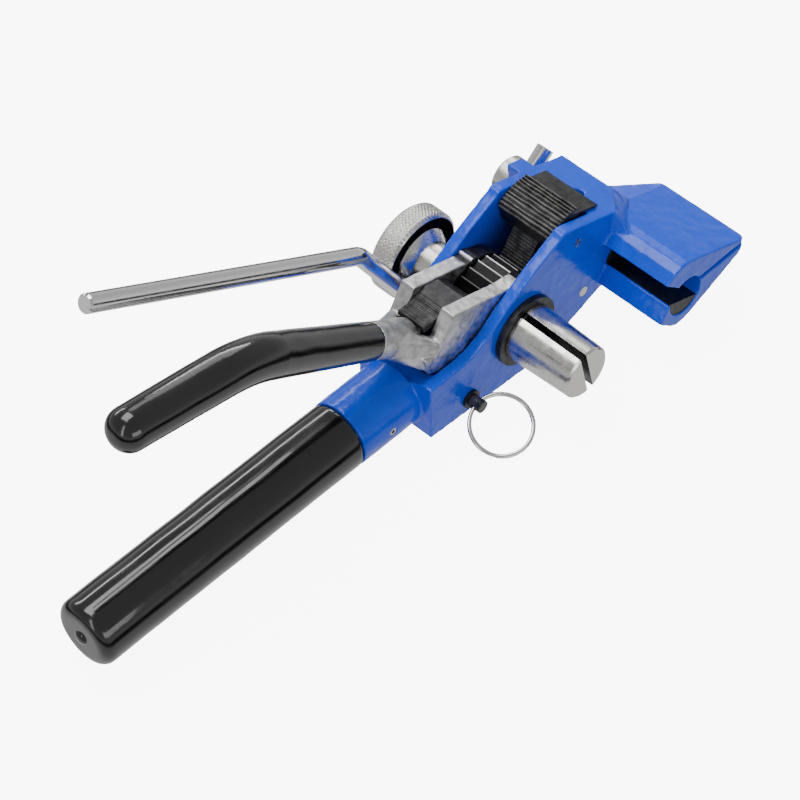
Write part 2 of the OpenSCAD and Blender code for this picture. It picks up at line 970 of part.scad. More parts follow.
module ratchet_lever_bar() {
    color(steel)
    union() {
        strut(neck_bore, bend_start + lap * lever_dir, bar_r, bar_r);
        bend(bend_c, bend_rad, lever_a - 90, bend_turn, bar_r + seam);
        strut(tail_start - lap * polar(1, tail_a), bar_end, bar_r, bar_r);
    }
}

module lever_end() {
    translate([tail_start[0], 0, tail_start[1]])
        rotate([0, 90 - tail_a, 0])
            rotate_extrude()
                union() {
                    polygon([
                        [0, -lap], [lever_r2 - seam, -lap],
                        [lever_r3, lever_tail - lever_end_r],
                        [lever_r3 - lever_end_r, lever_tail],
                        [0, lever_tail]]);
                    intersection() {
                        translate([lever_r3 - lever_end_r,
                                   lever_tail - lever_end_r])
                            circle(r = lever_end_r);
                        square([lever_r3, lever_tail]);
                    }
                }
}

module lever_grip() {
    color(black)
    difference() {
        union() {
            strut(neck_top, bend_start + lap * lever_dir,
                  lever_r1, lever_r2 - seam);
            bend(bend_c, bend_rad, lever_a - 90, bend_turn, lever_r2);
            lever_end();
        }
        ratchet_lever_bar();
    }
}

module drive_pawl() {
    d = limit_pin - pawl_pin;
    a = atan2(d[1], d[0]);
    color(oxide)
    slab(-drive_half, drive_half)
        difference() {
            union() {
                polygon(drive_pts);
                translate(pawl_pin)
                    circle(r = drive_hub_r);
            }
            translate(pawl_pin)
                circle(r = pin_r + run_gap);
            arc_slot(pawl_pin, norm(d), a, a + drive_travel,
                     pin_r + slot_room);
            for (i = [0 : pad_grooves - 1])
                translate(pad_first + i * pad_step)
                    circle(r = pad_groove_r, $fn = 12);
        }
}

module holding_pawl() {
    d = stop_pin - hold_pin;
    a = atan2(d[1], d[0]);
    color(oxide)
    difference() {
        union() {
            slab(-hold_half, hold_half)
                difference() {
                    union() {
                        polygon(hold_low_pts);
                        translate(hold_pin)
                            circle(r = hold_hub_r);
                    }
                    for (i = [0 : face_grooves - 1])
                        translate(face_first + i * face_step)
                            circle(r = ridge_r, $fn = 12);
                }
            slab(-hold_wide, hold_wide)
                polygon(hold_top_pts);
            slab(-hold_wide, hold_wide)
                for (i = [0 : ridge_n - 1])
                    translate(ridge_first + i * ridge_step)
                        circle(r = ridge_r, $fn = 12);
        }
        bar_y(hold_pin, hold_pin_r + run_gap, -body_half, body_half);
        slab(-body_half, body_half)
            arc_slot(hold_pin, norm(d), a, a + hold_travel,
                     stop_pin_r + slot_room);
    }
}

module cutter_shaft() {
    r = cutter_bore_r - cutter_gap;
    c = [cutter_x, cutter_z];
    color(oxide)
    difference() {
        union() {
            bar_y(c, r, nose_end_y + 0.5, hub_seat_y);
            bar_y(c, hub_tail_r, 0, hub_bore_y);
        }
        slab(nose_end_y - cut, slot_end_y)
            translate(c)
                rotate(cutter_tilt)
                    translate([-r * 2, -cutter_flat])
                        square([r * 4, r * 2]);
        difference() {
            bar_y(c, r + cut, keep_y - groove_half, keep_y + groove_half);
            bar_y(c, groove_r, keep_y - groove_half - cut,
                  keep_y + groove_half + cut);
        }
    }
}

module cutter_hub() {
    c = [cutter_x, cutter_z];
    color(nickel)
    difference() {
        union() {
            bar_y(c, hub_r, hub_seat_y, hub_end_y - hub_chamfer);
            cone_y(c, hub_r, hub_r - hub_chamfer,
                   hub_end_y - hub_chamfer, hub_end_y);
        }
        bar_y(c, hub_tail_r, 0, hub_bore_y);
        strut(c * 2 - stub_low, stub_low,
              rod_r - seam, rod_r - seam, stub_y);
        bar_y(c, clamp_r, stub_y + rod_r - 0.4, hub_end_y + cut);
    }
}

module hub_clamp_screw() {
    c = [cutter_x, cutter_z];
    color(steel)
    difference() {
        bar_y(c, clamp_r, stub_y + rod_r, hub_end_y - 0.6);
        slab(hub_end_y - 3, hub_end_y + cut)
            translate(c)
                circle(r = hex_r * 0.8, $fn = 6);
    }
}

// cutter lever: stub through the hub, under the windlass, up and back
under_a = atan2(under_rear[1] - under_front[1],
                under_rear[0] - under_front[0]);
rise_a = atan2(leg_top[1] - under_rear[1], leg_top[0] - under_rear[0]);
low_turn = under_a - rise_a;
top_turn = leg_a - rise_a;
low_set = rod_bend * tan(low_turn / 2);
top_set = rod_bend * tan(top_turn / 2);
low_in = under_rear - low_set * polar(1, under_a);
low_out = under_rear + low_set * polar(1, rise_a);
low_c = low_in + rod_bend * polar(1, under_a - 90);
top_in = leg_top - top_set * polar(1, rise_a);
top_out = leg_top + top_set * polar(1, leg_a);
top_c = top_in + rod_bend * polar(1, rise_a + 90);
rod_end = leg_top + rod_leg * polar(1, leg_a);

module cutter_lever() {
    thin = rod_r - seam;
    c = [cutter_x, cutter_z];
    stub_end = c + stub_len * (c - stub_low) / norm(c - stub_low);
    a = [stub_end[0], stub_y, stub_end[1]];
    b = [stub_low[0], stub_y, stub_low[1]];
    d = [under_front[0], rod_y, under_front[1]];
    color(chrome)
    union() {
        strut3(b, a, thin);
        translate(b)
            sphere(r = rod_r);
        strut3(d, b, thin);
        translate(d)
            sphere(r = rod_r);
        strut(under_front, low_in + lap * polar(1, under_a),
              thin, thin, rod_y);
        bend(low_c, rod_bend, rise_a + 90, low_turn, rod_r, rod_y);
        strut(low_out - lap * polar(1, rise_a),
              top_in + lap * polar(1, rise_a), thin, thin, rod_y);
        bend(top_c, rod_bend, rise_a - 90, top_turn, rod_r, rod_y);
        strut(top_out - lap * polar(1, leg_a), rod_end,
              thin, thin, rod_y);
        strut(rod_end, rod_end + rod_chamfer * polar(1, leg_a),
              thin, thin - rod_chamfer, rod_y);
    }
}

module plunger_pin() {
    p = [plunger_x, plunger_z];
    color(oxide)
    difference() {
        union() {
            bar_y(p, plunger_r, head_y - tiny, plunger_tip_y);
            bar_y(p, head_r, plunger_end_y, head_y);
            bar_y(p, collar_r, plunger_tip_y - lip_t - collar_t,
                  plunger_tip_y - lip_t);
        }
        translate([plunger_x, ring_y, plunger_z])
            rotate([0, 90 - ring_tilt, 0])
                translate([0, 0, -housing_r])
                    cylinder(h = housing_r * 2, r = ring_hole_r);
    }
}

module pull_ring() {
    rad = ring_r - ring_wire_r;
    color(steel)
    translate([plunger_x, ring_y, plunger_z])
        rotate([0, -ring_tilt, 0])
            rotate([ring_drop, 0, 0])
                translate([0, -rad, 0])
                    rotate_extrude()
                        translate([rad, 0])
                            circle(r = ring_wire_r);
}

body_casting();
handle_tube();
handle_grip();
handle_roll_pin();
windlass_bush_near();
windlass_bush_far();
holding_pawl_pin();
pawl_stop_pin();
cutter_retaining_pin();
holding_pawl_spring();
plunger_housing();
plunger_spring();
windlass_shaft();
ratchet_wheel();
wheel_key();
thrust_washer();
knob();
knob_screw();
ratchet_yoke();
yoke_bush_near();
yoke_bush_far();
yoke_eye_near();
yoke_eye_far();
eye_dowel();
drive_pawl_pin();
pawl_limit_pin();
drive_pawl_spring();
ratchet_lever_bar();
lever_grip();
drive_pawl();
holding_pawl();
cutter_shaft();
cutter_hub();
hub_clamp_screw();
cutter_lever();
plunger_pin();
pull_ring();
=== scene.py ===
import math

import bmesh
import bpy
from mathutils import Matrix, Vector, noise


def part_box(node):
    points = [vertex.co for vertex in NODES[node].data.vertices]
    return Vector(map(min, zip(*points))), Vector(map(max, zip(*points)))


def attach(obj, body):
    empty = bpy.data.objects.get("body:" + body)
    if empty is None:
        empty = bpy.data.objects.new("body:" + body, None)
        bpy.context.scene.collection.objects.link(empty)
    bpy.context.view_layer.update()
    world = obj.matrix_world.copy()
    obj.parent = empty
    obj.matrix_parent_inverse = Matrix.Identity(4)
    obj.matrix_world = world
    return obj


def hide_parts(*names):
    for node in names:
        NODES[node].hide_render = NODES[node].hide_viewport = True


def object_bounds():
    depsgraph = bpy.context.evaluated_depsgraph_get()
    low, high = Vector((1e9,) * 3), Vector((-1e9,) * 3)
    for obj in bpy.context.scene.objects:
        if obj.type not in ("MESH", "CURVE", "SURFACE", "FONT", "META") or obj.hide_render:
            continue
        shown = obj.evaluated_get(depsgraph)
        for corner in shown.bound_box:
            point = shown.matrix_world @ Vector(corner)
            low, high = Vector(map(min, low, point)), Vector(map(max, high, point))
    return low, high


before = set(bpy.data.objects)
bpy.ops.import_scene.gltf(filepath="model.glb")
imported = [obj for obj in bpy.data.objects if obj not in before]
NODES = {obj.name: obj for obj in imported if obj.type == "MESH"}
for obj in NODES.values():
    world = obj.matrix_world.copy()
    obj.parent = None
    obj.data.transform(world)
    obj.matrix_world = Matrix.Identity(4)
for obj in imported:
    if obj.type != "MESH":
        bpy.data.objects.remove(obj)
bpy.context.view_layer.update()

MM = 0.001
SLIT_LEAN = 13
SLIT_HALF = 1.6 * MM
SLIT_WALL = 0.03 * MM
CREST_R = max(math.hypot(v.co.x, v.co.z) for v in NODES["ratchet_wheel"].data.vertices)
# Depth below the crests at which the painted crest highlight starts, and at which it is complete.
CREST_HIGHLIGHT_STARTS = 0.36 * MM
CREST_HIGHLIGHT_FULL = 0.2 * MM

# Camera: the picture's direction, distance and framing.
CAM_AZIMUTH = -45.2
CAM_ELEVATION = 49.8
CAM_ROLL = -0.8
CAM_DISTANCE = 1245 * MM
CAM_SHIFT = (35.86 * MM, 40.35 * MM)
CAM_LENS = 135.0
CAM_SENSOR = 36.0

FLOOR_GLOW = 8.0
FLOOR_SIZE = 6.0
FLOOR_GAP = 0.2 * MM
# Surroundings, straight down to straight up: place on the ramp and brightness.
SKY = [(0.0, 0.8), (0.29, 0.8), (0.35, 0.04), (0.41, 0.04), (0.47, 0.85), (0.6, 0.5), (1.0, 0.42)]
TOP_POWER = 7.0
FRONT_POWER = 1.6
FAR_POWER = 4.0
NEAR_POWER = 2.2
REAR_POWER = 1.2


# ---------------------------------------------------------------- materials

NICKEL_COLOR = (0.7, 0.69, 0.67)
# Painted shade: near-black colour for the walls of the windlass shaft's strap slit.
SLIT_SHADE_COLOR = (0.012, 0.012, 0.012)
OXIDE_COLOR = (0.012, 0.012, 0.013)
# Painted highlight colour for the ratchet wheel's tooth crests.
CREST_HIGHLIGHT_COLOR = (0.5, 0.49, 0.48)


def new_material(name, color, roughness, metallic=0.0, coat=0.0, coat_roughness=0.05, specular=0.5):
    """A Principled material and its shader node."""
    mat = bpy.data.materials.new(name)
    mat.use_nodes = True
    shader = mat.node_tree.nodes["Principled BSDF"]
    shader.inputs["Base Color"].default_value = (*color, 1.0)
    shader.inputs["Roughness"].default_value = roughness
    shader.inputs["Metallic"].default_value = metallic
    shader.inputs["Coat Weight"].default_value = coat
    shader.inputs["Coat Roughness"].default_value = coat_roughness
    shader.inputs["Specular IOR Level"].default_value = specular
    return mat, shader


def noise_node(mat, scale, stretch=(1, 1, 1), detail=4.0, rough=0.55):
    """A noise texture in object coordinates, in metres, stretched along the axes."""
    tree = mat.node_tree
    coord = tree.nodes.new("ShaderNodeTexCoord")
    mapping = tree.nodes.new("ShaderNodeMapping")
    mapping.inputs["Scale"].default_value = stretch
    tex = tree.nodes.new("ShaderNodeTexNoise")
    tex.inputs["Scale"].default_value = scale
    tex.inputs["Detail"].default_value = detail
    tex.inputs["Roughness"].default_value = rough
    tree.links.new(coord.outputs["Object"], mapping.inputs["Vector"])
    tree.links.new(mapping.outputs["Vector"], tex.inputs["Vector"])
    return tex


def add_bump(mat, shader, tex, strength, distance, to="Normal"):
    """Bump from a texture, on top of any bump already there."""
    tree = mat.node_tree
    bump = tree.nodes.new("ShaderNodeBump")
    bump.inputs["Strength"].default_value = strength
    bump.inputs["Distance"].default_value = distance
    tree.links.new(tex.outputs["Fac"], bump.inputs["Height"])
    if shader.inputs[to].is_linked:
        before = shader.inputs[to].links[0].from_socket
        tree.links.new(before, bump.inputs["Normal"])
    tree.links.new(bump.outputs["Normal"], shader.inputs[to])


def vary(mat, shader, tex, socket, low, high, at=(0.35, 0.65)):
    """Drives a socket between two values or colours by a texture."""
    tree = mat.node_tree
    ramp = tree.nodes.new("ShaderNodeValToRGB")
    ramp.color_ramp.elements[0].position = at[0]
    ramp.color_ramp.elements[1].position = at[1]
    first = low if isinstance(low, tuple) else (low, low, low)
    second = high if isinstance(high, tuple) else (high, high, high)
    ramp.color_ramp.elements[0].color = (*first, 1.0)
    ramp.color_ramp.elements[1].color = (*second, 1.0)
    tree.links.new(tex.outputs["Fac"], ramp.inputs["Fac"])
    tree.links.new(ramp.outputs["Color"], shader.inputs[socket])


def enamel_blue():
    mat, shader = new_material("enamel_blue", (0.0, 0.066, 0.74), 0.24, coat=0.2, coat_roughness=0.08,
                               specular=0.35)
    vary(mat, shader, noise_node(mat, 60), "Base Color", (0.0, 0.06, 0.7), (0.0, 0.074, 0.78))
    add_bump(mat, shader, noise_node(mat, 260, detail=2.0), 0.45, 0.5 * MM)
    add_bump(mat, shader, noise_node(mat, 900, detail=2.0), 0.2, 0.12 * MM)
    add_bump(mat, shader, noise_node(mat, 260, detail=2.0), 0.3, 0.5 * MM, to="Coat Normal")
    return mat


def vinyl_black():
    mat, shader = new_material("vinyl_black", (0.004, 0.004, 0.0045), 0.14, coat=0.5, coat_roughness=0.03)
    vary(mat, shader, noise_node(mat, 90), "Roughness", 0.1, 0.2)
    add_bump(mat, shader, noise_node(mat, 45, detail=2.0), 0.2, 1.0 * MM)
    add_bump(mat, shader, noise_node(mat, 1500), 0.05, 0.05 * MM)
    return mat


def chrome_rod():
    mat, shader = new_material("chrome_rod", (0.78, 0.78, 0.78), 0.1, metallic=1.0)
    vary(mat, shader, noise_node(mat, 300), "Roughness", 0.07, 0.2)
    add_bump(mat, shader, noise_node(mat, 600), 0.06, 0.1 * MM)
    return mat


def plain_steel(name, color, low, high, grain=900):
    mat, shader = new_material(name, color, low, metallic=1.0)
    vary(mat, shader, noise_node(mat, 400), "Roughness", low, high)
    add_bump(mat, shader, noise_node(mat, grain), 0.1, 0.08 * MM)
    return mat


def turned_nickel(name):
    """Nickel plate over turned steel: fine rings round Y."""
    mat, shader = new_material(name, NICKEL_COLOR, 0.22, metallic=1.0)
    vary(mat, shader, noise_node(mat, 220), "Roughness", 0.16, 0.32)
    add_bump(mat, shader, noise_node(mat, 1.0, stretch=(60, 4200, 60), detail=2.0), 0.3, 0.06 * MM)
    add_bump(mat, shader, noise_node(mat, 500), 0.1, 0.1 * MM)
    return mat


def shaded_slit_nickel():
    """Turned nickel with painted shade, near black, on the walls of its strap slit."""
    mat = turned_nickel("shaded_slit_nickel")
    tree = mat.node_tree
    coord = tree.nodes.new("ShaderNodeTexCoord")
    across = tree.nodes.new("ShaderNodeVectorMath")
    across.operation = "DOT_PRODUCT"
    lean = math.radians(SLIT_LEAN)
    across.inputs[1].default_value = (math.cos(lean), 0, math.sin(lean))
    off = tree.nodes.new("ShaderNodeMath")
    off.operation = "ABSOLUTE"
    inside = tree.nodes.new("ShaderNodeMath")
    inside.operation = "LESS_THAN"
    inside.inputs[1].default_value = SLIT_HALF + SLIT_WALL
    # Painted shade: inside the slit the base colour turns near black.
    colour = tree.nodes.new("ShaderNodeValToRGB")
    colour.color_ramp.elements[0].color = (*NICKEL_COLOR, 1.0)
    colour.color_ramp.elements[1].color = (*SLIT_SHADE_COLOR, 1.0)
    tree.links.new(coord.outputs["Object"], across.inputs[0])
    tree.links.new(across.outputs["Value"], off.inputs[0])
    tree.links.new(off.outputs["Value"], inside.inputs[0])
    tree.links.new(inside.outputs["Value"], colour.inputs["Fac"])
    tree.links.new(colour.outputs["Color"], tree.nodes["Principled BSDF"].inputs["Base Color"])
    return mat


def blasted_alloy():
    """Zinc casting: grey skin, lighter and darker in patches at random."""
    mat, shader = new_material("blasted_alloy", (0.5, 0.5, 0.5), 0.36, metallic=1.0)
    vary(mat, shader, noise_node(mat, 220, detail=6.0), "Base Color", (0.38, 0.38, 0.38), (0.72, 0.72, 0.71))
    vary(mat, shader, noise_node(mat, 500), "Roughness", 0.28, 0.5)
    add_bump(mat, shader, noise_node(mat, 420, detail=6.0), 0.6, 0.3 * MM)
    add_bump(mat, shader, noise_node(mat, 2400), 0.35, 0.08 * MM)
    return mat


def black_oxide(name, dark, light, low, high):
    mat, shader = new_material(name, dark, low, metallic=0.5)
    vary(mat, shader, noise_node(mat, 250), "Base Color", dark, light)
    vary(mat, shader, noise_node(mat, 600), "Roughness", low, high)
    add_bump(mat, shader, noise_node(mat, 1400), 0.2, 0.06 * MM)
    return mat


def highlit_wheel():
    """Black wheel with a painted highlight on its tooth crests, by distance from the axle."""
    mat, shader = new_material("highlit_wheel", OXIDE_COLOR, 0.35, metallic=0.7)
    tree = mat.node_tree
    coord = tree.nodes.new("ShaderNodeTexCoord")
    flat = tree.nodes.new("ShaderNodeVectorMath")
    flat.operation = "MULTIPLY"
    flat.inputs[1].default_value = (1, 0, 1)
    length = tree.nodes.new("ShaderNodeVectorMath")
    length.operation = "LENGTH"
    # Painted highlight: near the crest radius the colour turns bright.
    ramp = tree.nodes.new("ShaderNodeMapRange")
    ramp.inputs["From Min"].default_value = CREST_R - CREST_HIGHLIGHT_STARTS
    ramp.inputs["From Max"].default_value = CREST_R - CREST_HIGHLIGHT_FULL
    colour = tree.nodes.new("ShaderNodeValToRGB")
    colour.color_ramp.elements[0].color = (*OXIDE_COLOR, 1.0)
    colour.color_ramp.elements[1].color = (*CREST_HIGHLIGHT_COLOR, 1.0)
    tree.links.new(coord.outputs["Object"], flat.inputs[0])
    tree.links.new(flat.outputs["Vector"], length.inputs[0])
    tree.links.new(length.outputs["Value"], ramp.inputs["Value"])
    tree.links.new(ramp.outputs["Result"], colour.inputs["Fac"])
    tree.links.new(colour.outputs["Color"], shader.inputs["Base Color"])
    vary(mat, shader, noise_node(mat, 600), "Roughness", 0.3, 0.48)
    add_bump(mat, shader, noise_node(mat, 1.0, stretch=(300, 2600, 300), detail=3.0), 0.25, 0.05 * MM)
    return mat


def dark_recess():
    # The knob's recess is drawn near black.
    mat, shader = new_material("dark_recess", (0.008, 0.008, 0.008), 0.3)
    vary(mat, shader, noise_node(mat, 300), "Roughness", 0.22, 0.4)
    add_bump(mat, shader, noise_node(mat, 800), 0.2, 0.1 * MM)
    return mat


def bronze():
    mat, shader = new_material("bronze", (0.5, 0.33, 0.14), 0.35, metallic=1.0)
    add_bump(mat, shader, noise_node(mat, 1200), 0.15, 0.05 * MM)
    return mat


def floor_paint():
    mat, shader = new_material("floor_paint", (0.8, 0.8, 0.8), 0.7, specular=0.0)
    shader.inputs["Emission Color"].default_value = (1.0, 1.0, 1.0, 1.0)
    shader.inputs["Emission Strength"].default_value = FLOOR_GLOW
    add_bump(mat, shader, noise_node(mat, 30), 0.02, 0.2 * MM)
    return mat


ENAMEL = enamel_blue()
VINYL = vinyl_black()
CHROME = chrome_rod()
PIN_STEEL = plain_steel("pin_steel", (0.6, 0.6, 0.61), 0.22, 0.4)
TUBE_STEEL = plain_steel("tube_steel", (0.5, 0.5, 0.51), 0.3, 0.45)
SPRING_STEEL = plain_steel("spring_steel", (0.3, 0.3, 0.32), 0.3, 0.5)
RING_STEEL = plain_steel("ring_steel", (0.74, 0.74, 0.75), 0.12, 0.22)
NICKEL = turned_nickel("turned_nickel")
SHADED_SLIT_NICKEL = shaded_slit_nickel()
ALLOY = blasted_alloy()
OXIDE = black_oxide("black_oxide", OXIDE_COLOR, (0.04, 0.04, 0.041), 0.3, 0.45)
WORN_OXIDE = black_oxide("worn_oxide", (0.03, 0.03, 0.03), (0.11, 0.108, 0.105), 0.26, 0.4)
RECESS = dark_recess()
WHEEL = highlit_wheel()
BRONZE = bronze()
FLOOR = floor_paint()

NODE_MATERIALS = {
    "body_casting": ENAMEL,
    "handle_tube": TUBE_STEEL,
    "handle_grip": VINYL,
    "handle_roll_pin": PIN_STEEL,
    "windlass_bush_near": OXIDE,
    "windlass_bush_far": BRONZE,
    "holding_pawl_pin": PIN_STEEL,
    "pawl_stop_pin": PIN_STEEL,
    "cutter_retaining_pin": PIN_STEEL,
    "holding_pawl_spring": SPRING_STEEL,
    "plunger_housing": OXIDE,
    "plunger_spring": SPRING_STEEL,
    "windlass_shaft": SHADED_SLIT_NICKEL,
    "ratchet_wheel": WHEEL,
    "wheel_key": PIN_STEEL,
    "thrust_washer": BRONZE,
    "knob": NICKEL,
    "knob_screw": PIN_STEEL,
    "ratchet_yoke": ALLOY,
    # The yoke's eyes are drawn near black, darker than the alloy arms.
    "yoke_eye_near": OXIDE,
    "yoke_eye_far": OXIDE,
    "eye_dowel": PIN_STEEL,
    "yoke_bush_near": BRONZE,
    "yoke_bush_far": BRONZE,
    "drive_pawl_pin": PIN_STEEL,
    "pawl_limit_pin": PIN_STEEL,
    "drive_pawl_spring": SPRING_STEEL,
    "ratchet_lever_bar": TUBE_STEEL,
    "lever_grip": VINYL,
    "drive_pawl": OXIDE,
    "holding_pawl": OXIDE,
    "cutter_shaft": OXIDE,
    "cutter_hub": NICKEL,
    "hub_clamp_screw": PIN_STEEL,
    "cutter_lever": CHROME,
    "plunger_pin": WORN_OXIDE,
    "pull_ring": RING_STEEL,
}


def paint(obj, mat):
    obj.data.materials.clear()
    obj.data.materials.append(mat)


def shade_smooth(obj, angle=35):
    """Smooth shading that keeps edges sharper than the angle."""
    mesh = obj.data
    mesh.polygons.foreach_set("use_smooth", [True] * len(mesh.polygons))
    bm = bmesh.new()
    bm.from_mesh(mesh)
    for edge in bm.edges:
        sharp = len(edge.link_faces) == 2 and edge.calc_face_angle() > math.radians(angle)
        edge.smooth = not sharp
    bm.to_mesh(mesh)
    bm.free()


for node_name, node_mat in NODE_MATERIALS.items():
    paint(NODES[node_name], node_mat)


# ---------------------------------------------------------------- pieces

def new_object(name, mesh, body, mat, slot, *replaced):
    obj = bpy.data.objects.new(name, mesh)
    bpy.context.scene.collection.objects.link(obj)
    paint(obj, mat)
    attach(obj, body)
    if replaced:
        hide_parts(*replaced)
    return obj


def apply_modifiers(obj):
    """Bakes the object's modifiers into its mesh."""
    graph = bpy.context.evaluated_depsgraph_get()
    mesh = bpy.data.meshes.new_from_object(obj.evaluated_get(graph))
    obj.modifiers.clear()
    old = obj.data
    obj.data = mesh
    bpy.data.meshes.remove(old)


# Noise level that leaves the skin where it was: more swells it, less sinks it.
SKIN_LEVEL = 0.25


def cast_copy(name, node, body, mat, slot, voxel, smooth_steps, lump, lump_scale):
    """A copy of a CAD node with the soft edges and uneven skin of a coated casting."""
    obj = new_object(name, NODES[node].data.copy(), body, mat, slot, node)
    remesh = obj.modifiers.new("skin", "REMESH")
    remesh.mode = "VOXEL"
    remesh.voxel_size = voxel
    relax = obj.modifiers.new("soften", "SMOOTH")
    relax.factor = 0.5
    relax.iterations = smooth_steps
    apply_modifiers(obj)
    mesh = obj.data
    moved = []
    for v in mesh.vertices:
        point = v.co / lump_scale
        moved.append(v.co + v.normal * (noise.noise(point) - SKIN_LEVEL) * lump)
    for v, co in zip(mesh.vertices, moved):
        v.co = co
    mesh.polygons.foreach_set("use_smooth", [True] * len(mesh.polygons))
    mesh.update()


def build_casting():
    cast_copy("enamelled_casting", "body_casting", "frame", ENAMEL, "blue_enamel",
              0.5 * MM, 6, 0.12 * MM, 5 * MM)


def build_yoke():
    cast_copy("cast_yoke", "ratchet_yoke", "ratchet_arm", ALLOY, "cast_alloy",
              0.4 * MM, 5, 0.1 * MM, 3 * MM)


def build_grips():
    """Dipped grips: vinyl runs a little uneven before it sets."""
    cast_copy("dipped_handle_grip", "handle_grip", "frame", VINYL, "black_vinyl",
              0.8 * MM, 4, 0.2 * MM, 18 * MM)
    cast_copy("dipped_lever_grip", "lever_grip", "ratchet_arm", VINYL, "black_vinyl",
              0.6 * MM, 4, 0.12 * MM, 14 * MM)


def mesh_object(name, verts, faces, body, mat, slot, *replaced):
    mesh = bpy.data.meshes.new(name)
    mesh.from_pydata(verts, [], faces)
    mesh.update()
    return new_object(name, mesh, body, mat, slot, *replaced)


def grid_faces(rows, cols, wrap_rows=False):
    """Quads of a grid whose columns close on themselves."""
    faces = []
    for i in range(rows if wrap_rows else rows - 1):
        for j in range(cols):
            a, b = i * cols + j, i * cols + (j + 1) % cols
            c, d = ((i + 1) % rows) * cols + (j + 1) % cols, ((i + 1) % rows) * cols + j
            faces.append((a, b, c, d))
    return faces


# Knob, from the CAD node's box: rim, recess, hub sleeve and screw seat.
KNURL_ROUND = 64
KNURL_DEEP = 0.42 * MM
KNURL_STEPS = 8
KNURL_ROWS = 56
RIM_WIDTH = 11.5 * MM
RIM_BEVEL = 1.3 * MM


def diamond(turn, along):
    """Height of a diamond knurl, 0 in the grooves and 1 on the points."""
    a = abs(2 * ((turn + along) % 1) - 1)
    b = abs(2 * ((turn - along) % 1) - 1)
    return min(1.0, 2.2 * min(a, b))


def build_knob():
    low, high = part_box("knob")
    rim = high.z
    near = high.y - RIM_WIDTH
    pitch = 2 * math.pi * rim / KNURL_ROUND
    bevel = RIM_BEVEL
    profile = [(low.y, 8.0), (low.y, 10.2), (low.y + 0.3 * MM, 10.5), (near - 4 * MM, 10.5),
               (near - 0.5 * MM, 13.9), (near, 14.2), (near + 7.9 * MM, 14.3),
               (near + 8 * MM, 14.5), (near + 8 * MM, 19.1), (near + 7.9 * MM, 19.3), (near, 19.3)]
    profile = [(y, r * MM) for y, r in profile]
    recess_rows = range(6, len(profile) - 1)
    profile += [(near, rim - bevel), (near + 0.4 * bevel, rim - 0.6 * bevel)]
    first_knurl = len(profile)
    for k in range(KNURL_ROWS + 1):
        profile.append((near + bevel + (high.y - near - 2 * bevel) * k / KNURL_ROWS, rim))
    last_knurl = len(profile)
    profile += [(high.y - 0.4 * bevel, rim - 0.6 * bevel), (high.y, rim - bevel), (high.y, 4.3 * MM),
                (high.y - 0.2 * MM, 4 * MM), (high.y - 2 * MM, 4 * MM), (high.y - 2 * MM, 8 * MM)]
    cols = KNURL_ROUND * KNURL_STEPS
    verts = []
    for row, (y, r) in enumerate(profile):
        for j in range(cols):
            angle = 2 * math.pi * j / cols
            dip = 0.0
            if first_knurl <= row < last_knurl:
                dip = KNURL_DEEP * (1 - diamond(j / KNURL_STEPS, (y - near) / pitch))
            verts.append(((r - dip) * math.cos(angle), y, (r - dip) * math.sin(angle)))
    faces = grid_faces(len(profile), cols, wrap_rows=True)
    obj = mesh_object("knurled_knob", verts, faces, "windlass", NICKEL, "nickel_plate", "knob")
    obj.data.materials.append(RECESS)
    for poly in obj.data.polygons:
        if poly.index // cols in recess_rows:
            poly.material_index = 1
    shade_smooth(obj, 30)


# A rib's cross-section, in shares of its width and height, and how its line wavers.
RIB_SECTION = ((-0.5, -0.5), (-0.42, 0.35), (-0.12, 1.0), (0.22, 0.95), (0.42, 0.3), (0.5, -0.5))
RIB_ROWS = 24
WAVER_PER_METRE = 160
WAVER_PER_RIB = 3.1


def ribs(name, path, count, half_y, wide, tall, body, mat, wander=0.0):
    """Ribs along Y laid on a path of XZ points, evenly spaced; each is a low ridge with a sharp crest."""
    points = [Vector((x * MM, 0, z * MM)) for x, z in path]
    lengths = [(b - a).length for a, b in zip(points, points[1:])]
    total = sum(lengths)
    sides = len(RIB_SECTION)
    verts, faces = [], []
    for k in range(count):
        left = total * (k + 0.5) / count
        seg = 0
        while seg < len(lengths) - 1 and left > lengths[seg]:
            left -= lengths[seg]
            seg += 1
        along = (points[seg + 1] - points[seg]).normalized()
        out = Vector((-along.z, 0, along.x))
        base = points[seg] + along * left
        start = len(verts)
        for i in range(RIB_ROWS + 1):
            y = -half_y + 2 * half_y * i / RIB_ROWS
            sway = wander * noise.noise(Vector((y * WAVER_PER_METRE, k * WAVER_PER_RIB, 0.0)))
            for across, up in RIB_SECTION:
                point = base + along * (across * wide + sway) + out * (up * tall + sway * 0.5)
                verts.append((point.x, y, point.z))
        for i in range(RIB_ROWS):
            for j in range(sides):
                a, b = start + i * sides + j, start + i * sides + (j + 1) % sides
                faces.append((a, b, b + sides, a + sides))
        faces.append(tuple(start + j for j in range(sides - 1, -1, -1)))
        faces.append(tuple(start + RIB_ROWS * sides + j for j in range(sides)))
    obj = mesh_object(name, verts, faces, body, mat, "black_oxide")
    shade_smooth(obj, 30)


def build_ribs():
    """Thumb ridges of both pawls."""
    ribs("holding_pawl_ridges", [(22.3, 30.6), (22.9, 32.95), (31.6, 37.1), (39.2, 36.9)], 11, 14.2 * MM,
         1.25 * MM, 0.95 * MM, "holding_pawl", WORN_OXIDE, wander=0.25 * MM)
    ribs("holding_pawl_serrations", [(16.0, 12.9), (19.4, 17.5), (23.6, 23.4)], 9, 6.7 * MM,
         0.95 * MM, 0.45 * MM, "holding_pawl", WORN_OXIDE)
    ribs("drive_pawl_serrations", [(-44.6, 26.05), (-39, 25.8), (-33.6, 26.7)], 12, 7.15 * MM,
         0.62 * MM, 0.28 * MM, "drive_pawl", WORN_OXIDE)


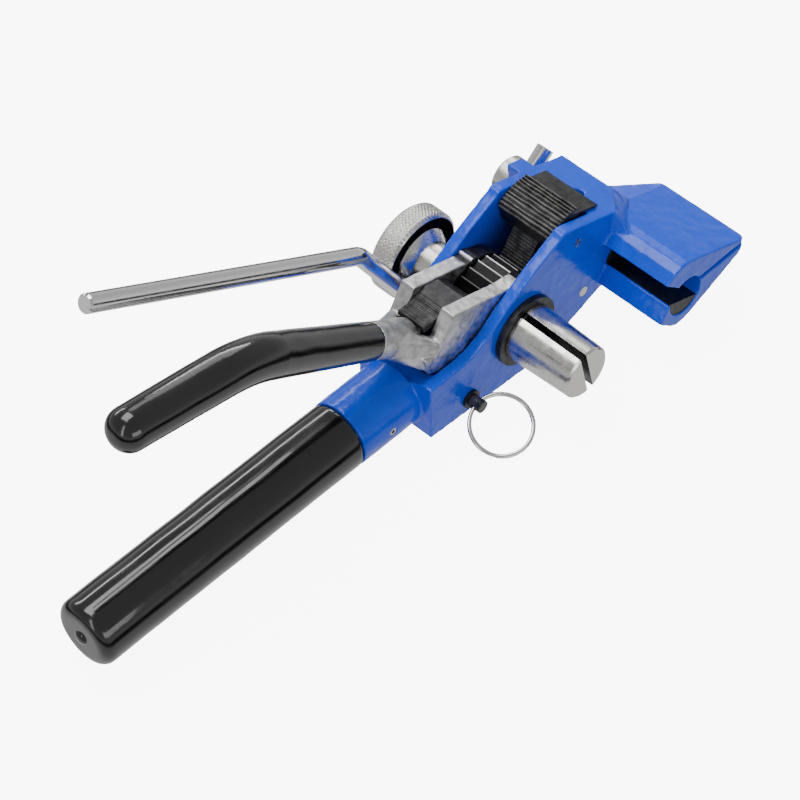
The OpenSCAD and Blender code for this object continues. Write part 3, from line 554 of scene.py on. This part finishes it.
# Split ring: the CAD ring's place, and two turns of thinner wire.
RING_HINGE = Vector((-31.5, -24.8, -17.5)) * MM
RING_TILT = 14
RING_DROP = 20
RING_R = 13.3 * MM
RING_WIRE = 0.5 * MM
RING_FLAT = 1.8
RING_HIGH = 0.96
RING_START = 200
RING_TURNS = 2.04
RING_STEPS = 96
RING_SIDES = 12
# The wire steps over to its second turn round this share of the first, and tapers at its ends.
STEP_FROM = 0.9
STEP_LONG = 0.2
TAPER_END = 0.45
TAPER_STEPS = 4


def build_split_ring():
    place = (Matrix.Translation(RING_HINGE) @ Matrix.Rotation(math.radians(-RING_TILT), 4, "Y")
             @ Matrix.Rotation(math.radians(RING_DROP), 4, "X") @ Matrix.Translation((0, -RING_R, 0)))
    rows = int(RING_TURNS * RING_STEPS)
    verts = []
    for i in range(rows + 1):
        turn = i / RING_STEPS
        angle = 2 * math.pi * turn + math.radians(RING_START)
        rise = (min(max((turn - STEP_FROM) / STEP_LONG, 0.0), 1.0) - 0.5) * 2 * RING_WIRE
        taper = min(1.0, TAPER_END + (1 - TAPER_END) * min(i, rows - i) / TAPER_STEPS)
        for j in range(RING_SIDES):
            swing = 2 * math.pi * j / RING_SIDES
            r = RING_R + RING_WIRE * taper * math.cos(swing) * RING_FLAT
            verts.append(place @ Vector((r * math.cos(angle), r * math.sin(angle),
                                         rise + RING_WIRE * taper * math.sin(swing) * RING_HIGH)))
    faces = grid_faces(rows + 1, RING_SIDES)
    faces.append(tuple(range(RING_SIDES - 1, -1, -1)))
    faces.append(tuple(rows * RING_SIDES + j for j in range(RING_SIDES)))
    obj = mesh_object("split_ring", [tuple(v) for v in verts], faces, "pull_ring", RING_STEEL, "ring_wire",
                      "pull_ring")
    shade_smooth(obj, 50)


DRIP_OUT = 0.6 * MM
DRIP_HALF_LONG = 1.9 * MM
DRIP_R = 3.4 * MM


def build_drip():
    """The drip that hangs from a dipped grip's end."""
    low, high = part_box("handle_grip")
    z = (low.z + high.z) / 2
    bm = bmesh.new()
    bmesh.ops.create_uvsphere(bm, u_segments=24, v_segments=16, radius=1.0)
    for v in bm.verts:
        v.co = Vector((low.x + DRIP_OUT + v.co.x * DRIP_HALF_LONG, v.co.y * DRIP_R, z + v.co.z * DRIP_R))
    mesh = bpy.data.meshes.new("grip_drip")
    bm.to_mesh(mesh)
    bm.free()
    obj = new_object("grip_drip", mesh, "frame", VINYL, "black_vinyl")
    shade_smooth(obj, 60)


build_casting()
build_yoke()
build_grips()
build_knob()
build_ribs()
build_split_ring()
build_drip()

# ---------------------------------------------------------------- stage

def build_camera():
    azimuth, elevation, roll = (math.radians(a) for a in (CAM_AZIMUTH, CAM_ELEVATION, CAM_ROLL))
    back = Vector((math.sin(azimuth) * math.cos(elevation), -math.cos(azimuth) * math.cos(elevation),
                   math.sin(elevation)))
    right = Vector((math.cos(azimuth), math.sin(azimuth), 0))
    up = back.cross(right)
    turned_right = math.cos(roll) * right + math.sin(roll) * up
    turned_up = -math.sin(roll) * right + math.cos(roll) * up
    data = bpy.data.cameras.new("camera")
    data.lens = CAM_LENS
    data.sensor_width = CAM_SENSOR
    cam = bpy.data.objects.new("camera", data)
    bpy.context.scene.collection.objects.link(cam)
    place = -CAM_SHIFT[0] * turned_right - CAM_SHIFT[1] * turned_up + CAM_DISTANCE * back
    cam.matrix_world = Matrix((
        (turned_right.x, turned_up.x, back.x, place.x),
        (turned_right.y, turned_up.y, back.y, place.y),
        (turned_right.z, turned_up.z, back.z, place.z),
        (0, 0, 0, 1)))
    bpy.context.scene.camera = cam


def area_light(name, place, aim, size, power, size_y=None):
    data = bpy.data.lights.new(name, "AREA")
    data.energy = power
    data.size = size
    if size_y:
        data.shape = "RECTANGLE"
        data.size_y = size_y
    obj = bpy.data.objects.new(name, data)
    bpy.context.scene.collection.objects.link(obj)
    obj.location = place
    obj.rotation_mode = "QUATERNION"
    obj.rotation_quaternion = (Vector(aim) - Vector(place)).to_track_quat("-Z", "Y")


def build_stage():
    low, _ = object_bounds()
    bpy.ops.mesh.primitive_plane_add(size=FLOOR_SIZE, location=(0, 0, low.z - FLOOR_GAP))
    floor = bpy.context.object
    floor.name = "floor"
    paint(floor, FLOOR)
    # The white floor is a backdrop: it neither lights the tool nor shows in its metal.
    floor.visible_diffuse = False
    floor.visible_glossy = False
    build_sky()
    area_light("top_box", (-0.05, 0.25, 0.95), (-0.02, 0, 0), 0.8, TOP_POWER, 0.5)
    area_light("front_box", (0.75, 0.6, 0.75), (0.03, 0, 0.02), 0.5, FRONT_POWER, 0.5)
    area_light("far_strip", (0.3, 0.85, 0.5), (-0.08, 0, 0), 1.4, FAR_POWER, 0.12)
    area_light("near_box", (-0.25, -0.95, 0.35), (-0.02, 0, 0), 0.9, NEAR_POWER, 0.3)
    area_light("rear_strip", (-0.95, -0.1, 0.5), (-0.1, 0, 0), 0.15, REAR_POWER, 0.8)


def build_sky():
    """Studio surroundings: pale above, dark below."""
    world = bpy.data.worlds.new("studio")
    bpy.context.scene.world = world
    world.use_nodes = True
    tree = world.node_tree
    coord = tree.nodes.new("ShaderNodeTexCoord")
    split = tree.nodes.new("ShaderNodeSeparateXYZ")
    level = tree.nodes.new("ShaderNodeMath")
    level.operation = "MULTIPLY_ADD"
    level.inputs[1].default_value = 0.5
    level.inputs[2].default_value = 0.5
    ramp = tree.nodes.new("ShaderNodeValToRGB")
    stops = ramp.color_ramp.elements
    for _ in SKY[2:]:
        stops.new(0.5)
    for stop, (place, bright) in zip(stops, SKY):
        stop.position = place
        stop.color = (bright, bright, bright, 1.0)
    tree.links.new(coord.outputs["Generated"], split.inputs["Vector"])
    tree.links.new(split.outputs["Z"], level.inputs[0])
    tree.links.new(level.outputs["Value"], ramp.inputs["Fac"])
    tree.links.new(ramp.outputs["Color"], tree.nodes["Background"].inputs["Color"])
    tree.nodes["Background"].inputs["Strength"].default_value = 1.0


build_camera()
build_stage()
